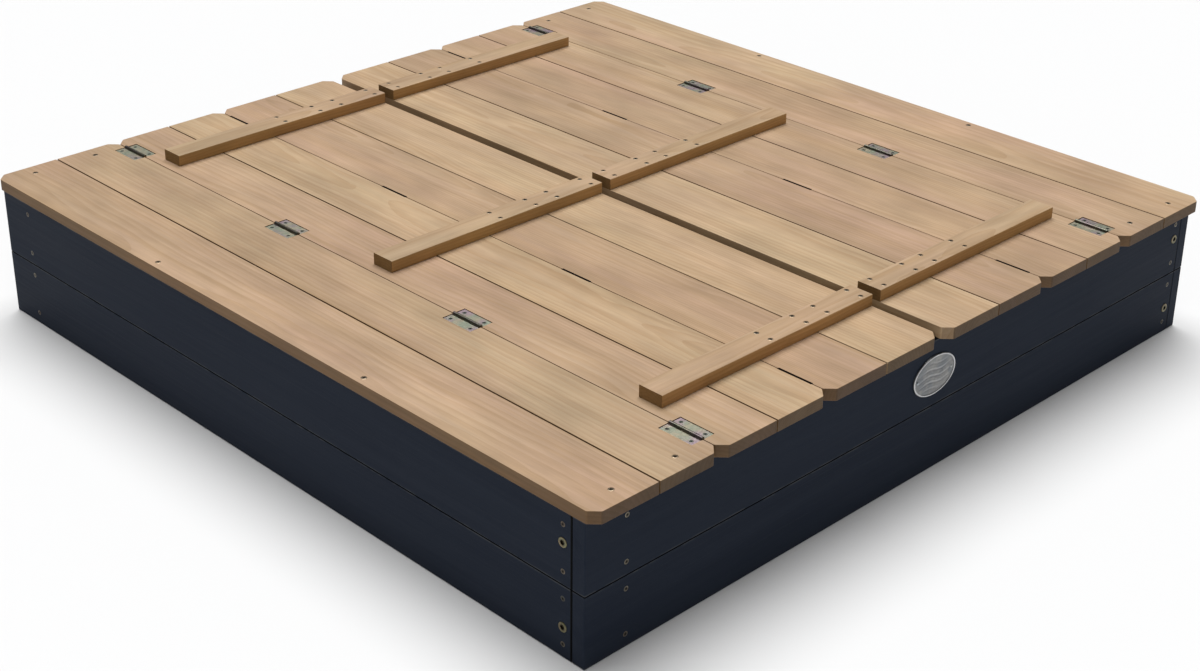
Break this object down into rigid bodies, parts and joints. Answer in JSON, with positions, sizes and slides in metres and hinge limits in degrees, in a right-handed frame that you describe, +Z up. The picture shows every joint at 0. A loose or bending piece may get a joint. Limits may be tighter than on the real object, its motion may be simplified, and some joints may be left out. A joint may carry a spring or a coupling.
{
  "type": "sandbox with cover",
  "caption": "Square wooden sandbox with dark painted walls and a hinged slatted cover whose halves fold out into two benches with backrests.",
  "frame": {"origin": "on the ground, under the middle of the closed sandbox", "axes": "+Z up; +X towards the east half of the cover; +Y towards the back wall, along the cover boards; the name plate is on the front wall, facing -Y"},
  "size_m": [1.164, 1.19, 0.216],
  "materials": {
    "painted_board": "opaque anthracite paint, brushed along the grain",
    "post_timber": "sawn softwood, untreated",
    "cover_board": "planed softwood, clear oiled",
    "batten_timber": "planed softwood, clear oiled",
    "cleat_timber": "planed softwood, clear oiled",
    "yellow_zinc": "yellow passivated zinc",
    "bright_zinc": "bright zinc plate",
    "wall_screw_steel": "zinc-plated steel",
    "dark_screw_steel": "dark bronzed steel",
    "plate_pewter": "dull cast grey with a brighter rim",
    "hinge_screw_steel": "zinc-plated steel",
    "hinge_zinc": "greenish zinc plate with a faint iridescence"
  },
  "bodies": {
    "box_frame": {"back_wall_lower_board": "painted_board", "back_wall_posts": "post_timber", "back_wall_upper_board": "painted_board", "corner_bolts": "yellow_zinc", "corner_nuts": "bright_zinc", "corner_washers": "bright_zinc", "east_ledge_hinge_leaves": "hinge_zinc", "east_ledge_inner_board": "cover_board", "east_ledge_outer_board": "cover_board", "east_seat_hinge_pins": "hinge_zinc", "east_wall_lower_board": "painted_board", "east_wall_posts": "post_timber", "east_wall_upper_board": "painted_board", "front_wall_lower_board": "painted_board", "front_wall_posts": "post_timber", "front_wall_upper_board": "painted_board", "ledge_hinge_screws": "hinge_screw_steel", "ledge_screws": "dark_screw_steel", "name_plate": "plate_pewter", "name_plate_pins": "bright_zinc", "wall_screws": "wall_screw_steel", "west_ledge_hinge_leaves": "hinge_zinc", "west_ledge_inner_board": "cover_board", "west_ledge_outer_board": "cover_board", "west_seat_hinge_pins": "hinge_zinc", "west_wall_lower_board": "painted_board", "west_wall_posts": "post_timber", "west_wall_upper_board": "painted_board"},
    "west_seat": {"west_back_hinge_pins": "hinge_zinc", "west_seat_cleat_screws": "dark_screw_steel", "west_seat_cleats": "cleat_timber", "west_seat_hinge_screws": "hinge_screw_steel", "west_seat_inner_board": "cover_board", "west_seat_outer_board": "cover_board", "west_seat_top_leaves": "hinge_zinc", "west_seat_under_leaves": "hinge_zinc"},
    "west_backrest": {"west_back_hinge_screws": "hinge_screw_steel", "west_back_inner_board": "cover_board", "west_back_leaves": "hinge_zinc", "west_back_outer_board": "cover_board", "west_batten_screws": "dark_screw_steel", "west_front_batten": "batten_timber", "west_middle_batten": "batten_timber", "west_rear_batten": "batten_timber"},
    "east_seat": {"east_back_hinge_pins": "hinge_zinc", "east_seat_cleat_screws": "dark_screw_steel", "east_seat_cleats": "cleat_timber", "east_seat_hinge_screws": "hinge_screw_steel", "east_seat_inner_board": "cover_board", "east_seat_outer_board": "cover_board", "east_seat_top_leaves": "hinge_zinc", "east_seat_under_leaves": "hinge_zinc"},
    "east_backrest": {"east_back_hinge_screws": "hinge_screw_steel", "east_back_inner_board": "cover_board", "east_back_leaves": "hinge_zinc", "east_back_outer_board": "cover_board", "east_batten_screws": "dark_screw_steel", "east_front_batten": "batten_timber", "east_middle_batten": "batten_timber", "east_rear_batten": "batten_timber"}
  },
  "joints": [
    {"name": "west_seat_turn", "type": "hinge", "parent": "box_frame", "child": "west_seat", "pos_m": [-0.392, 0, 0.2003], "axis": [0, -1, 0], "range_deg": [0, 180]},
    {"name": "west_backrest_fold", "type": "hinge", "parent": "west_seat", "child": "west_backrest", "pos_m": [-0.212, 0, 0.1837], "axis": [0, 1, 0], "range_deg": [0, 90]},
    {"name": "east_seat_turn", "type": "hinge", "parent": "box_frame", "child": "east_seat", "pos_m": [0.392, 0, 0.2003], "axis": [0, 1, 0], "range_deg": [0, 180]},
    {"name": "east_backrest_fold", "type": "hinge", "parent": "east_seat", "child": "east_backrest", "pos_m": [0.212, 0, 0.1837], "axis": [0, -1, 0], "range_deg": [0, 90]}
  ],
  "couplings": [
    {"joint": "west_backrest_fold", "follows": "west_seat_turn", "ratio": 0.5},
    {"joint": "east_backrest_fold", "follows": "east_seat_turn", "ratio": 0.5}
  ]
}
